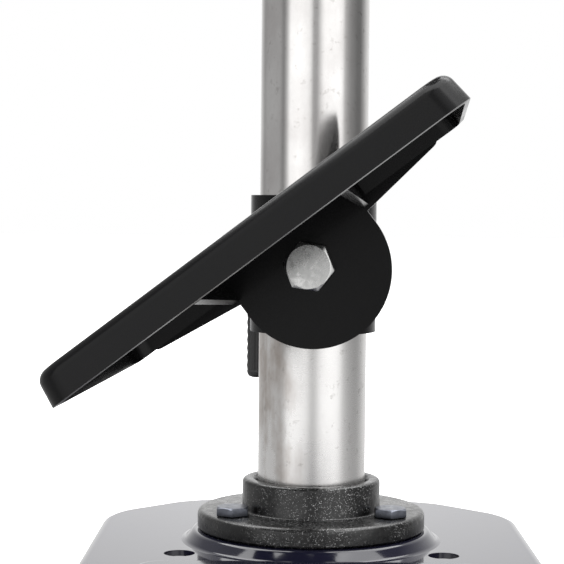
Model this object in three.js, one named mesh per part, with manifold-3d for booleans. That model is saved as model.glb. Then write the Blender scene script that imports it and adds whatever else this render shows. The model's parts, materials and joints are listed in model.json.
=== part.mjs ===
// A small bench drill press: stamped base, ground column, tilting table, head, belt drive and motor.
// Millimetres, +Z up, +X to the user's right, the user stands at -Y. The column's axis is x = y = 0.
import * as THREE from "three";
import { mergeVertices } from "three/addons/utils/BufferGeometryUtils.js";
import Module from "manifold-3d";

const wasm = await Module();
wasm.setup();

// ---- driving dimensions ----
const gap = 0.3; // between pieces that rest on, or pass through, each other
const radians = Math.PI / 180;

const column = { radius: 23, wall: 3, top: 484 };
const flange = {
  wall: 6, boltInset: 8.7, rimInset: 10.5, thickness: 8, height: 21.3, rim: 2, fillet: 0.8, bore: 0.5,
};
const m8 = { radius: 4, across: 13, head: 3.6, nut: 6.5, tail: 2 };
const base = {
  width: 196, front: -200, rear: 100, height: 20, wall: 2.5, draft: 4, edge: 2, rearChamfer: 39, corner: 14,
};
const boss = { ledge: 1.3, slope: 3.5, height: 4.7 };
const bench = { holeRadius: 6.4, x: 54.3, y: -34.7 };
const pad = {
  halfWidth: 70, rear: -56, front: -184, height: 2, corner: 10, slotX: 38, slotWidth: 13, slotLength: 84,
};

const collar = {
  thickness: 3.3, bottom: 84.6, height: 57.8, channel: 17, channelInset: 6, plate: 3.5, tiltHeight: 114, tiltX: 2,
};
const ear = { thickness: 3.6, beyond: 8, split: 2.5, height: 30 };
const lock = {
  behind: 15, screwRadius: 4, x: -27, hubRadius: 7.5, hubLength: 11, neck: 4.2, grip: 5.6, reach: 53.7,
  gripLength: 33,
};
const table = {
  width: 164.5, depth: 160, behind: 25, skirt: 11.5, skirtBottom: 10, wall: 2.3, inset: 1.3, edge: 3.4, corner: 10,
  holeRadius: 10, slotWidth: 9, slotLength: 46, slotMiddle: 48, tilt: 37.1, swing: 4.75, shift: 2.2,
};
const bracket = {
  thickness: 3, tongue: 31.7, drop: 2, shoulder: 3.9, wing: 72, wingBottom: 9.4, wingEnd: 5,
  gussetLength: 90, gussetRear: 5.5, gussetFront: 12.4,
};
const m12 = { radius: 6, across: 18, head: 7.5, nut: 10, tail: 2, turn: 22 };

const head = {
  bottom: 385, top: 495, flank: 3, behind: 15, frontRadius: 34, nose: 20, corner: 12, edge: 3,
  sleeveWall: 11, sleeveDrop: 13, barrelWall: 9, barrelDrop: 8,
};
const core = { half: 26, wall: 38, rear: -36, roof: 12 };
const setScrew = { radius: 4, z: 405 };
const quill = { radius: 20, bottom: 352, top: 487, travel: 50, bore: 10 };
const bearing = { outer: 16, inner: 8, width: 10, upperOuter: 13 };
const spindle = { radius: 8, top: 571, driveRadius: 6.5, flangeRadius: 12, noseBottom: 327, noseRadius: 7.2 };
const rack = { module: 1.5, teeth: 14, width: 22, z: 430, backlash: 0.35, pressure: 20 };
const feed = {
  shaft: 8, hubRadius: 17, hubLength: 34, spokeLength: 96, spokeRadius: 4, spokeStart: 12, lean: 12, first: 30,
  knobRadius: 11, knobLength: 26, knobGrip: 14,
};
const stopRing = { radius: 27, width: 12, side: 0.5, screw: 3, screwSeat: 8.5, screwHead: 5, screwHeadLength: 9 };
const springCup = { radius: 27, depth: 22, wall: 2.5, turns: 4, strip: 0.9, inner: 10 };
const chuck = {
  radius: 20, top: 346, bottom: 290, sleeve: 23.5, sleeveBottom: 298, sleeveTop: 324, mouth: 6.5, mouthTop: 319,
  teeth: 12, keyHole: 3,
};
const jaw = { radius: 4, length: 26, angle: 15, tip: 286, offset: 4.9, open: 15 };
const pulley = { bottom: 518, step: 10, radii: [44, 38, 32, 26], groove: 5.5, beltStep: 1, bore: 7 };
const belt = { width: 4.6, thickness: 5.4 };
const cover = {
  radius: 60, wall: 2, floor: 495.3, lidBottom: 511, top: 576, hingeX: -65.5, hingeRadius: 4, shaftHole: 16,
};
const lidKnob = { inset: 20, stem: 3, radius: 9, height: 10 };
const pin = { radius: 1.8, over: 2 };
const motor = {
  radius: 52, clear: 2, bottom: 352, top: 486, shaftRadius: 7, shaftTop: 552, shaftSeat: 30, endCap: 16, slide: 9,
};
const plate = { behind: 10, thickness: 4, half: 48, bottom: 398, top: 482 };
const rod = { clear: 4, z: 446, radius: 6, from: -24, end: 6 };
const tensionLock = { y: 14, screw: 4, radius: 9, length: 12 };
const switchBox = { depth: 28, front: -62, rear: -10, bottom: 408, top: 480, wall: 2.5 };
const button = { radius: 8, travel: 3, length: 10, startZ: 460, stopZ: 430 };
const gland = { neck: 6, nut: 9, bore: 3.6 };
const guard = {
  inner: 40, wall: 2, bottom: 286, top: 350, pinX: -48, pinBehind: 20, pinRadius: 3, armHeight: 11, half: 8,
};

// ---- places that follow from them ----
const hubRadius = column.radius + flange.bore + flange.wall;
const boltCircle = hubRadius + flange.boltInset;
const flangeRadius = boltCircle + flange.rimInset;
const bossTop = flangeRadius + boss.ledge;
const bossFoot = bossTop + boss.slope;
const tableRear = -(column.radius + table.behind);
const quillY = tableRear - table.depth / 2; // the quill's, chuck's and table hole's axis
const lockY = column.radius + lock.behind;
const rodX = column.radius + rod.radius + rod.clear;
const headHalf = rodX + rod.radius + head.flank;
const headRear = column.radius + head.behind;
const plateFront = headRear + plate.behind;
const motorY = plateFront + plate.thickness + motor.clear + motor.radius;
const stopFrom = headHalf + stopRing.side;
const hubFrom = stopFrom + stopRing.width + stopRing.side;
const guardPinY = quillY + guard.pinBehind;

// ---- materials ----
const paint = (color, roughness, metalness = 0) => new THREE.MeshStandardMaterial({ color, roughness, metalness });
const blackGloss = paint(0x17171a, 0.25);
const navyGloss = paint(0x16161f, 0.18);
const hammered = paint(0x2a2a2c, 0.45);
const zinc = paint(0xc4c4c0, 0.3, 1);
const darkSteel = paint(0x3c3e44, 0.4, 0.8);
const groundSteel = paint(0xb4b2ae, 0.28, 1);
const blackPlastic = paint(0x161616, 0.5);
const greyPaint = paint(0x4b5054, 0.4);
const rubber = paint(0x101010, 0.8);
const green = paint(0x1f8f3a, 0.35);
const red = paint(0xb82018, 0.35);
const clear = paint(0xe8eef0, 0.1);
const springSteel = paint(0x6d7076, 0.35, 1);
const alloy = paint(0xa8a8a6, 0.4, 0.9);

// ---- shape helpers ----
// A closed three.js geometry as a solid, turned right side out.
function solid(geometry) {
  const bare = geometry.index ? geometry.toNonIndexed() : geometry.clone();
  const only = new THREE.BufferGeometry().setAttribute("position", bare.getAttribute("position"));
  const merged = mergeVertices(only, 1e-4);
  const triVerts = new Uint32Array(merged.index.array);
  const vertProperties = merged.attributes.position.array;
  const made = new wasm.Manifold(new wasm.Mesh({ numProp: 3, vertProperties, triVerts }));
  if (made.volume() >= 0) return made;
  for (let i = 0; i < triVerts.length; i += 3) [triVerts[i], triVerts[i + 1]] = [triVerts[i + 1], triVerts[i]];
  return new wasm.Manifold(new wasm.Mesh({ numProp: 3, vertProperties, triVerts }));
}

function mesh(name, body, material) {
  const made = body.getMesh();
  const geometry = new THREE.BufferGeometry();
  geometry.setAttribute("position", new THREE.BufferAttribute(made.vertProperties, 3));
  geometry.setIndex(new THREE.BufferAttribute(made.triVerts, 1));
  geometry.computeVertexNormals();
  const result = new THREE.Mesh(geometry, material);
  result.name = name;
  return result;
}

const union = (...parts) => parts.reduce((a, b) => a.add(b));
const cut = (body, ...tools) => tools.reduce((a, b) => a.subtract(b), body);

// A box between two corners.
function box(x0, x1, y0, y1, z0, z1) {
  const g = new THREE.BoxGeometry(x1 - x0, y1 - y0, z1 - z0);
  return solid(g.translate((x0 + x1) / 2, (y0 + y1) / 2, (z0 + z1) / 2));
}

// An upright cylinder or cone; topRadius may differ from radius.
function cylinder(radius, z0, z1, x = 0, y = 0, sides = 32, topRadius = radius) {
  const g = new THREE.CylinderGeometry(topRadius, radius, z1 - z0, sides);
  return solid(g.rotateX(Math.PI / 2).translate(x, y, (z0 + z1) / 2));
}

// A cylinder along X.
function crossCylinder(radius, x0, x1, y, z, sides = 24) {
  const g = new THREE.CylinderGeometry(radius, radius, x1 - x0, sides);
  return solid(g.rotateZ(Math.PI / 2).translate((x0 + x1) / 2, y, z));
}

// A cylinder along Y.
function depthCylinder(radius, y0, y1, x, z, sides = 24) {
  return solid(new THREE.CylinderGeometry(radius, radius, y1 - y0, sides).translate(x, (y0 + y1) / 2, z));
}

const tube = (outer, inner, z0, z1, x = 0, y = 0, sides = 32) =>
  cut(cylinder(outer, z0, z1, x, y, sides), cylinder(inner, z0 - 1, z1 + 1, x, y, sides));

// A body of revolution about the upright axis at x, y, from [radius, z] points.
function turned(profile, x = 0, y = 0, sides = 32) {
  const g = new THREE.LatheGeometry(profile.map(([r, z]) => new THREE.Vector2(r, z)), sides);
  return solid(g.rotateX(Math.PI / 2).translate(x, y, 0));
}

// An upright hexagonal prism, flats across.
const hexagon = (across, z0, z1, x = 0, y = 0) => cylinder(across / Math.sqrt(3), z0, z1, x, y, 6);

function hexHead(across, z0, z1, x, y) {
  const shoulder = [across, z1 - across * 0.32];
  const chamfer = turned([[0, z0], [across, z0], shoulder, [across / 2 - 0.3, z1], [0, z1]], x, y, 12);
  return hexagon(across, z0, z1, x, y).intersect(chamfer);
}

// An outline drawn in X and Z, running from y1 back to y0.
function sheetAcross(shape, y0, y1, curveSegments = 6) {
  const g = new THREE.ExtrudeGeometry(shape, { depth: y1 - y0, bevelEnabled: false, curveSegments });
  return solid(g.rotateX(Math.PI / 2).translate(0, y1, 0));
}

function polygon(points) {
  return new THREE.Shape(points.map(([x, y]) => new THREE.Vector2(x, y)));
}

// The corners of a convex outline, each rounded by an arc, as a ring of points drawn in by inset.
function roundedRing(corners, radius, inset = 0, steps = 3) {
  const ring = [];
  const middle = corners.length;
  for (let i = 0; i < middle; i += 1) {
    const here = new THREE.Vector2(...corners[i]);
    const before = new THREE.Vector2(...corners[(i + middle - 1) % middle]).sub(here).normalize();
    const after = new THREE.Vector2(...corners[(i + 1) % middle]).sub(here).normalize();
    const half = Math.acos(before.dot(after)) / 2;
    const inward = before.clone().add(after).normalize();
    const centre = here.clone().addScaledVector(inward, radius / Math.sin(half));
    const start = Math.atan2(-inward.y, -inward.x);
    const sweep = Math.PI / 2 - half;
    for (let s = 0; s <= steps; s += 1) {
      const angle = start + sweep * ((2 * s) / steps - 1);
      const r = Math.max(radius - inset, 0.2);
      ring.push([centre.x + r * Math.cos(angle), centre.y + r * Math.sin(angle)]);
    }
  }
  return ring;
}

// A closed skin through rings of equal length, given as [points, z] from the bottom up.
function loft(rings) {
  const count = rings[0][0].length;
  const positions = rings.flatMap(([points, z]) => points.flatMap(([x, y]) => [x, y, z]));
  const index = [];
  for (let k = 0; k + 1 < rings.length; k += 1) {
    for (let i = 0; i < count; i += 1) {
      const [a, b] = [k * count + i, k * count + ((i + 1) % count)];
      index.push(a, b, b + count, a, b + count, a + count);
    }
  }
  const last = (rings.length - 1) * count;
  const flat = THREE.ShapeUtils.triangulateShape(rings[0][0].map(([x, y]) => new THREE.Vector2(x, y)), []);
  for (const [a, b, c] of flat) index.push(a, c, b, last + a, last + b, last + c);
  const g = new THREE.BufferGeometry();
  g.setAttribute("position", new THREE.Float32BufferAttribute(positions, 3));
  g.setIndex(index);
  return solid(g);
}

// The ring around two circles of one X, as a belt or a cover goes round its pulleys.
function beltRing(frontRadius, rearRadius, rearY, steps = 16) {
  const lean = Math.asin((frontRadius - rearRadius) / (rearY - quillY));
  const ring = [];
  for (let s = 0; s <= steps; s += 1) {
    const angle = Math.PI - lean + ((Math.PI + 2 * lean) * s) / steps;
    ring.push([frontRadius * Math.cos(angle), quillY + frontRadius * Math.sin(angle)]);
  }
  for (let s = 0; s <= steps; s += 1) {
    const angle = lean + ((Math.PI - 2 * lean) * s) / steps;
    ring.push([rearRadius * Math.cos(angle), rearY + rearRadius * Math.sin(angle)]);
  }
  return ring;
}

// An outline drawn in Y and Z, running along X from x0.
function profileAlongX(points, x0, length) {
  const g = new THREE.ExtrudeGeometry(polygon(points), { depth: length, bevelEnabled: false });
  return solid(g.rotateX(Math.PI / 2).rotateZ(Math.PI / 2).translate(x0, 0, 0));
}

const group = new THREE.Group();
const machine = new THREE.Group();
const add = (name, body, material, to = machine) => to.add(mesh(name, body, material));

// ---- base, flange and column ----
const flangeZ = base.height + boss.height + gap;
const flangeTop = flangeZ + flange.thickness;
const through = 100; // the height of a tool that cuts right through the base
const boltAngles = { front_left: 210, front_right: 330, rear: 90 };

function baseCorners() {
  const [w, c] = [base.width / 2, base.rearChamfer];
  const right = [[w, base.front], [w, base.rear - c], [w - c, base.rear]];
  return [...right, ...right.map(([x, y]) => [-x, y]).toReversed()];
}

function basePlate() {
  const shell = (inset, drop) => {
    const ring = (more) => roundedRing(baseCorners(), base.corner, inset + more);
    const top = base.height - drop;
    return loft([
      [ring(0), drop ? -1 : 0], [ring(base.draft * 0.7), top - 2 * base.edge],
      [ring(base.draft), top - base.edge / 2], [ring(base.draft + base.edge), top],
    ]);
  };
  const pads = (inset, drop) => {
    const [w, z] = [pad.halfWidth, base.height - drop];
    const corners = [[w, pad.front], [w, pad.rear], [-w, pad.rear], [-w, pad.front]];
    const ring = (more) => roundedRing(corners, pad.corner, inset + more);
    return loft([[ring(0), z - 1], [ring(0), z], [ring(pad.height), z + pad.height]]);
  };
  const bossAt = (inset, drop) => {
    const z = base.height - drop;
    return cylinder(bossFoot - inset, z - 0.5, z + boss.height, 0, 0, 32, bossTop - inset);
  };
  const outer = union(shell(0, 0), pads(0, 0), bossAt(0, 0));
  const inner = union(shell(base.wall, base.wall), pads(base.wall, base.wall), bossAt(base.wall, base.wall));
  const slots = [-1, 1].map((side) => {
    const [x, middle, r] = [side * pad.slotX, (pad.front + pad.rear) / 2, pad.slotWidth / 2];
    const half = pad.slotLength / 2 - r;
    const ends = [-half, half].map((y) => cylinder(r, 0, through, x, middle + y, 12));
    return union(box(x - r, x + r, middle - half, middle + half, 0, through), ...ends);
  });
  const holes = [-1, 1].map((side) => cylinder(bench.holeRadius, 0, through, side * bench.x, bench.y, 16));
  return cut(outer, inner, ...slots, ...holes, ...boltHoles());
}

function atBolt(angle, make) {
  return make(boltCircle * Math.cos(angle * radians), boltCircle * Math.sin(angle * radians));
}

function boltHoles() {
  const hole = (x, y) => cylinder(m8.radius + gap, 0, through, x, y, 12);
  return Object.values(boltAngles).map((angle) => atBolt(angle, hole));
}

function columnFlange() {
  const [r, h, rim] = [flangeRadius, hubRadius, flange.rim];
  const top = flangeZ + flange.height;
  const bore = column.radius + flange.bore;
  const body = turned([
    [bore, flangeZ], [r, flangeZ], [r, flangeTop - rim],
    [r - rim * 0.3, flangeTop - rim * 0.3], [r - rim, flangeTop],
    [h + flange.fillet, flangeTop], [h, flangeTop + flange.fillet], [h, top - 1], [h - 1, top],
    [bore + 1, top], [bore, top - 1], [bore, flangeZ],
  ]);
  return cut(body, ...boltHoles());
}

add("base_plate", basePlate(), navyGloss);
add("column_flange", columnFlange(), hammered);
const nutTop = base.height + boss.height - base.wall - gap;
for (const [place, angle] of Object.entries(boltAngles)) {
  add(`flange_bolt_${place}`, atBolt(angle, (x, y) => union(
    hexHead(m8.across, flangeTop + gap, flangeTop + gap + m8.head, x, y),
    cylinder(m8.radius, nutTop - m8.nut - m8.tail, flangeTop + gap + 1, x, y, 12),
  )), darkSteel);
  add(`flange_nut_${place}`, atBolt(angle, (x, y) => cut(
    hexagon(m8.across, nutTop - m8.nut, nutTop, x, y),
    cylinder(m8.radius + gap, 0, through, x, y, 12),
  )), zinc);
}
add("column", tube(column.radius, column.radius - column.wall, flangeZ, column.top), groundSteel);

// ---- table: collar, clamp, bracket and top; drawn straight, then swung and tilted ----
const tiltZ = flangeZ + collar.tiltHeight;
const bracketBack = tableRear + gap + bracket.thickness;
const bracketFront = bracketBack - bracket.thickness;
const collarPlateFront = bracketBack + gap;
const collarPlateBack = collarPlateFront + collar.plate;
const swung = new THREE.Group();
swung.rotation.z = -table.swing * radians;
const tilted = new THREE.Group();
tilted.position.set(collar.tiltX, 0, tiltZ);
tilted.rotation.y = -table.tilt * radians;
swung.add(tilted);
machine.add(swung);

function tableCollar() {
  const [z0, z1] = [flangeZ + collar.bottom, flangeZ + collar.bottom + collar.height];
  const bore = column.radius + flange.bore;
  const outer = bore + collar.thickness;
  const [w, t, inset] = [collar.channel, collar.plate, collar.channelInset];
  const channel = cut(
    box(-w, w, collarPlateFront, -bore * 0.7, z0 + inset, z1 - inset),
    box(t - w, w - t, collarPlateBack, 0, z0 - 1, z1 + 1),
  );
  const [e0, e1] = [tiltZ - ear.height / 2, tiltZ + ear.height / 2];
  const ears = box(-ear.split - ear.thickness, ear.split + ear.thickness, outer - 2, lockY + ear.beyond, e0, e1);
  return cut(
    union(cylinder(outer, z0, z1), channel, ears),
    cylinder(bore, z0 - 1, z1 + 1),
    box(-ear.split, ear.split, 5, 80, z0 - 1, z1 + 1),
    crossCylinder(lock.screwRadius + gap, -20, 20, lockY, tiltZ, 16),
    depthCylinder(m12.radius + gap, collarPlateFront - 20, collarPlateBack + 1, collar.tiltX, tiltZ, 20),
  );
}

const earOuter = ear.split + ear.thickness;
function lockScrew() {
  const [hubEnd, hubStart] = [lock.x + lock.hubLength / 2, lock.x - lock.hubLength / 2];
  const tip = earOuter + gap + m8.nut + m8.tail;
  return union(
    crossCylinder(lock.hubRadius, hubStart, hubEnd, lockY, tiltZ, 20),
    crossCylinder(lock.screwRadius + 1.8, hubEnd - 1, -earOuter - gap, lockY, tiltZ, 20),
    crossCylinder(lock.screwRadius, -earOuter - 1, tip, lockY, tiltZ, 16),
  );
}

function lockHandle() {
  const bottom = tiltZ - lock.reach;
  const gripTop = bottom + lock.gripLength;
  return turned([
    [0, bottom], [lock.grip - 2, bottom], [lock.grip - 0.4, bottom + 1.6], [lock.grip, bottom + 6],
    [lock.grip - 0.5, gripTop], [lock.neck, gripTop + 2], [lock.neck - 0.6, tiltZ - lock.hubRadius - gap],
    [0, tiltZ - lock.hubRadius - gap],
  ], lock.x, lockY, 20);
}

function lockNut() {
  const [x0, x1] = [earOuter + gap, earOuter + gap + m8.nut];
  const nut = crossCylinder(m8.across / Math.sqrt(3), x0, x1, lockY, tiltZ, 6);
  return cut(nut, crossCylinder(lock.screwRadius + gap, x0 - 1, x1 + 1, lockY, tiltZ, 16));
}

// The tilt bolt and its nut lie along Y: made upright and laid back, head to the front.
const laidBack = (body) => body.rotate([90, 0, 0]);
function tiltBolt() {
  const seat = -bracketFront + gap;
  const tip = -collarPlateBack - gap - m12.nut - m12.tail;
  const shank = cylinder(m12.radius, tip, seat + 1, 0, 0, 20);
  const body = union(hexHead(m12.across, seat, seat + m12.head, 0, 0), shank);
  return laidBack(body.rotate([0, 0, m12.turn])).translate([collar.tiltX, 0, tiltZ]);
}

function tiltNut() {
  const top = -collarPlateBack - gap;
  const body = cut(hexagon(m12.across, top - m12.nut, top), cylinder(m12.radius + gap, -100, 100, 0, 0, 20));
  return laidBack(body).translate([collar.tiltX, 0, tiltZ]);
}

function tableBracket() {
  const { tongue: w, drop, shoulder, wing, wingBottom, wingEnd, thickness: t } = bracket;
  const top = table.skirtBottom + table.skirt - table.wall - gap;
  const shape = new THREE.Shape();
  shape.moveTo(w, -drop);
  shape.lineTo(w, shoulder);
  for (const side of [1, -1]) {
    const wingSide = [[wing - wingEnd, wingBottom], [wing, wingBottom + wingEnd], [wing - 2, top]];
    for (const [x, z] of side > 0 ? wingSide : wingSide.toReversed()) shape.lineTo(side * x, z);
  }
  shape.lineTo(-w, shoulder);
  shape.lineTo(-w, -drop);
  shape.absarc(0, -drop, w, Math.PI, 2 * Math.PI, false);
  const back = sheetAcross(shape, bracketFront, bracketBack, 20);
  const [y0, y1] = [bracketFront - bracket.gussetLength, bracketFront + 0.5];
  const side = [[y1, bracket.gussetRear], [y1, top], [y0, top], [y0, bracket.gussetFront]];
  const gussets = [-1, 1].map((s) => profileAlongX(side, s * (w + 0.5) - t / 2, t));
  const boltBore = depthCylinder(m12.radius + gap, bracketFront - 1, bracketBack + 1, 0, 0, 20);
  return cut(union(back, ...gussets), boltBore);
}

function tableTop() {
  const [rear, front] = [tableRear, tableRear - table.depth];
  const [left, right] = [-1, 1].map((side) => table.shift + (side * table.width) / 2);
  const corners = [[right, front], [right, rear], [left, rear], [left, front]];
  const top = table.skirtBottom + table.skirt;
  const ring = (inset) => roundedRing(corners, table.corner, inset);
  const outer = loft([[ring(0), table.skirtBottom], [ring(table.inset * 0.7), top - table.edge],
    [ring(table.inset + 1), top - 1], [ring(table.inset + table.edge), top]]);
  const inner = loft([
    [ring(table.wall), table.skirtBottom - 1], [ring(table.wall + table.inset), top - table.wall - 1.2],
    [ring(table.wall + table.inset + 1.2), top - table.wall]]);
  const [middleX, middle] = [-collar.tiltX, quillY];
  const notch = bracket.tongue + bracket.thickness + gap;
  const opening = box(-notch, notch, rear - table.wall - table.inset - 2, rear + 1, 0, top - table.wall);
  const slot = (angle) => {
    const r = table.slotWidth / 2;
    const reach = table.slotLength / 2 - r;
    const [near, far] = [table.slotMiddle - reach, table.slotMiddle + reach];
    const straight = box(near, far, -r, r, 0, through);
    const body = union(straight, cylinder(r, 0, through, near, 0, 12), cylinder(r, 0, through, far, 0, 12));
    return body.rotate([0, 0, angle]).translate([middleX, middle, 0]);
  };
  const hole = cylinder(table.holeRadius, 0, through, middleX, middle, 20);
  return cut(outer, inner, opening, hole, ...[45, 135, 225, 315].map(slot));
}

add("table_collar", tableCollar(), blackGloss, swung);
add("lock_screw", lockScrew(), darkSteel, swung);
add("lock_handle", lockHandle(), blackPlastic, swung);
add("lock_nut", lockNut(), zinc, swung);
add("tilt_bolt", tiltBolt(), zinc, swung);
add("tilt_nut", tiltNut(), zinc, swung);
add("table_bracket", tableBracket(), blackGloss, tilted);
add("table_top", tableTop(), blackGloss, tilted);

// ---- head: casting, quill, spindle, feed and return spring ----
const pinionRadius = (rack.module * rack.teeth) / 2;
const rackPitchY = quillY + quill.radius - rack.module - 1;
const pinionY = rackPitchY + pinionRadius;
const headShoulder = switchBox.front - 4; // the flanks are straight behind this
const endless = 600; // a tool that runs right through

function headCasting() {
  const [w, f, shoulder, tip] = [headHalf, head.frontRadius, headShoulder, quillY - head.frontRadius];
  const right = [[head.nose, tip], [f, quillY], [w, shoulder], [w, headRear]];
  const left = right.map(([x, y]) => [-x, y]).toReversed();
  const ring = (inset) => roundedRing([...right, ...left], head.corner, inset);
  const edge = head.edge;
  const body = loft([
    [ring(2), head.bottom], [ring(0), head.bottom + edge], [ring(0), head.top - edge], [ring(2), head.top],
  ]);
  const feedBoss = crossCylinder(springCup.radius, -w, w, pinionY, rack.z, 32);
  const inBody = head.bottom + 10;
  const barrel = cylinder(quill.radius + head.barrelWall, head.bottom - head.barrelDrop, inBody, 0, quillY);
  const sleeve = cylinder(column.radius + head.sleeveWall, head.bottom - head.sleeveDrop, inBody);
  const pocketFront = quillY + quill.radius + core.wall;
  const pocket = box(-core.half, core.half, pocketFront, core.rear, head.bottom - 1, head.top - core.roof);
  const boreFrom = rod.from - motor.slide - gap;
  const rodBore = (side) => depthCylinder(rod.radius + gap, boreFrom, headRear + 1, side * rodX, rod.z, 20);
  return cut(
    union(body, feedBoss, barrel, sleeve),
    pocket,
    cylinder(column.radius + gap, 0, column.top + gap),
    cylinder(quill.radius + gap, 0, endless, 0, quillY),
    crossCylinder(pinionRadius + rack.module + 1, -rack.width / 2 - 1, w + 1, pinionY, rack.z, 32),
    crossCylinder(feed.shaft + gap, -w - 1, 0, pinionY, rack.z),
    crossCylinder(tensionLock.screw + gap, rodX, w + 1, tensionLock.y, rod.z, 12),
    rodBore(-1), rodBore(1),
    crossCylinder(setScrew.radius + gap, column.radius - 2, w + 1, 0, setScrew.z, 16),
  );
}

// A spur gear along X whose first tooth points along -Y, the teeth thinned by the backlash.
function pinionTeeth(x0, x1) {
  const { module: m, teeth } = rack;
  const [root, tip] = [pinionRadius - 1.25 * m, pinionRadius + m];
  const baseR = pinionRadius * Math.cos(rack.pressure * radians);
  const involute = (r) => Math.sqrt(Math.max((r / baseR) ** 2 - 1, 0)) - Math.acos(Math.min(baseR / r, 1));
  const pitchHalf = Math.PI / (2 * teeth) - rack.backlash / 2 / pinionRadius + involute(pinionRadius);
  const halfAt = (r) => pitchHalf - involute(Math.max(r, baseR));
  const points = [];
  const point = (r, angle) => points.push([pinionY + r * Math.cos(angle), rack.z + r * Math.sin(angle)]);
  for (let k = 0; k < teeth; k += 1) {
    const at = (2 * Math.PI * k) / teeth + Math.PI;
    const flank = [root, baseR, (baseR + tip) / 2, tip];
    for (const r of flank) point(r, at - halfAt(r));
    for (const r of flank.toReversed()) point(r, at + halfAt(r));
  }
  return profileAlongX(points, x0, x1 - x0);
}

// Rack teeth on the quill's back: a gap of the rack faces the pinion's first tooth at rack.z.
function quillBody() {
  const pitch = Math.PI * rack.module;
  const tipY = rackPitchY + rack.module;
  const rootY = rackPitchY - 1.25 * rack.module;
  const openY = tipY + 4;
  const slope = Math.tan(rack.pressure * radians);
  const half = rack.width / 2 + 3;
  const below = 3; // gaps under the pinion at rest
  const above = Math.ceil((quill.top - rack.z) / pitch);
  const widthAt = (y) => pitch / 4 + (y - rackPitchY) * slope;
  const tools = [];
  for (let k = -below; k <= above; k += 1) {
    const z = rack.z + k * pitch;
    const [low, high] = [widthAt(rootY), widthAt(openY)];
    const space = [[rootY, z - low], [openY, z - high], [openY, z + high], [rootY, z + low]];
    tools.push(profileAlongX(space, -half, 2 * half));
  }
  const flat = box(-half, half, tipY, tipY + 10, rack.z - (below + 1) * pitch, quill.top + 1);
  const pocket = (z0, z1, r) => cylinder(r + gap, z0, z1, 0, quillY);
  return cut(
    cylinder(quill.radius, quill.bottom, quill.top, 0, quillY),
    cylinder(quill.bore, 0, endless, 0, quillY, 24),
    pocket(quill.bottom - 1, quill.bottom + bearing.width, bearing.outer),
    pocket(quill.top - bearing.width, quill.top + 1, bearing.upperOuter),
    flat, ...tools,
  );
}

function feedShaft() {
  const [right, half] = [hubFrom + feed.hubLength, rack.width / 2];
  return union(
    pinionTeeth(-half, half),
    crossCylinder(feed.shaft, -headHalf - springCup.depth - 4, 0.5 - half, pinionY, rack.z),
    crossCylinder(pinionRadius + rack.module + 0.4, half + 5, headHalf + 0.1, pinionY, rack.z, 32),
    crossCylinder(pinionRadius - 2, half - 0.5, headHalf, pinionY, rack.z),
    crossCylinder(feed.shaft, headHalf - 1, right - 4, pinionY, rack.z),
  );
}

function springHousing() {
  const x1 = -headHalf - gap;
  const x0 = x1 - springCup.depth;
  return cut(
    crossCylinder(springCup.radius, x0, x1, pinionY, rack.z, 32),
    crossCylinder(springCup.radius - springCup.wall, x0 + springCup.wall, x1 + 1, pinionY, rack.z, 32),
    crossCylinder(feed.shaft + gap, x0 - 1, x1 + 1, pinionY, rack.z),
  );
}

function returnSpring() {
  const [inner, outer, steps] = [springCup.inner, springCup.radius - springCup.wall - 1, 40];
  const point = (s, side) => {
    const angle = (s / steps) * springCup.turns * 2 * Math.PI;
    const r = inner + ((outer - inner) * s) / steps + side * springCup.strip / 2;
    return [pinionY + r * Math.cos(angle), rack.z + r * Math.sin(angle)];
  };
  const points = [];
  for (let s = 0; s <= steps; s += 1) points.push(point(s, 1));
  for (let s = steps; s >= 0; s -= 1) points.push(point(s, -1));
  const side = 2; // free space on each side of the coil
  const x0 = -headHalf - gap - springCup.depth + springCup.wall + side;
  return profileAlongX(points, x0, springCup.depth - springCup.wall - 2 * side);
}

const hubX = hubFrom + feed.hubLength - feed.spokeStart;
const spokeAngles = [0, 120, 240];
const spokeEnd = feed.spokeStart + feed.spokeLength;

// Stands an upright body at the hub's middle, leans it outwards and turns it round the feed axis.
function alongSpoke(body, angle) {
  return body.rotate([0, feed.lean, 0]).rotate([angle + feed.first, 0, 0]).translate([hubX, pinionY, rack.z]);
}

function feedHub() {
  const { hubRadius: r, hubLength: l } = feed;
  const outline = [[0, 0], [r - 2, 0], [r, 3], [r, l - 5], [r - 5, l], [0, l]];
  const lathe = new THREE.LatheGeometry(outline.map(([a, b]) => new THREE.Vector2(a, b)), 24);
  const body = solid(lathe.rotateZ(-Math.PI / 2).translate(hubFrom, pinionY, rack.z));
  const socket = cylinder(feed.spokeRadius + gap, feed.spokeStart - 1, feed.spokeStart + r, 0, 0, 12);
  const shaftBore = crossCylinder(feed.shaft + gap, hubFrom - 1, hubFrom + l - 3, pinionY, rack.z);
  return cut(body, shaftBore, ...spokeAngles.map((angle) => alongSpoke(socket, angle)));
}

function feedKnob() {
  const [start, length, r] = [spokeEnd - feed.knobGrip, feed.knobLength, feed.knobRadius];
  const ball = turned([
    [0, start], [r * 0.45, start], [r * 0.82, start + length * 0.2], [r, start + length * 0.46],
    [r * 0.86, start + length * 0.77], [r * 0.45, start + length * 0.96], [0, start + length],
  ], 0, 0, 16);
  return cut(ball, cylinder(feed.spokeRadius + gap, start - 1, spokeEnd + gap, 0, 0, 12));
}

add("head_casting", headCasting(), blackGloss);
add("quill", quillBody(), groundSteel);
add("feed_shaft", feedShaft(), groundSteel);
add("spring_housing", springHousing(), blackGloss);
add("return_spring", returnSpring(), springSteel);
add("feed_hub", feedHub(), blackPlastic);
for (const [i, angle] of spokeAngles.entries()) {
  const spoke = cylinder(feed.spokeRadius, feed.spokeStart, spokeEnd, 0, 0, 12);
  add(`feed_spoke_${i + 1}`, alongSpoke(spoke, angle), zinc);
  add(`feed_knob_${i + 1}`, alongSpoke(feedKnob(), angle), blackPlastic);
}

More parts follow.
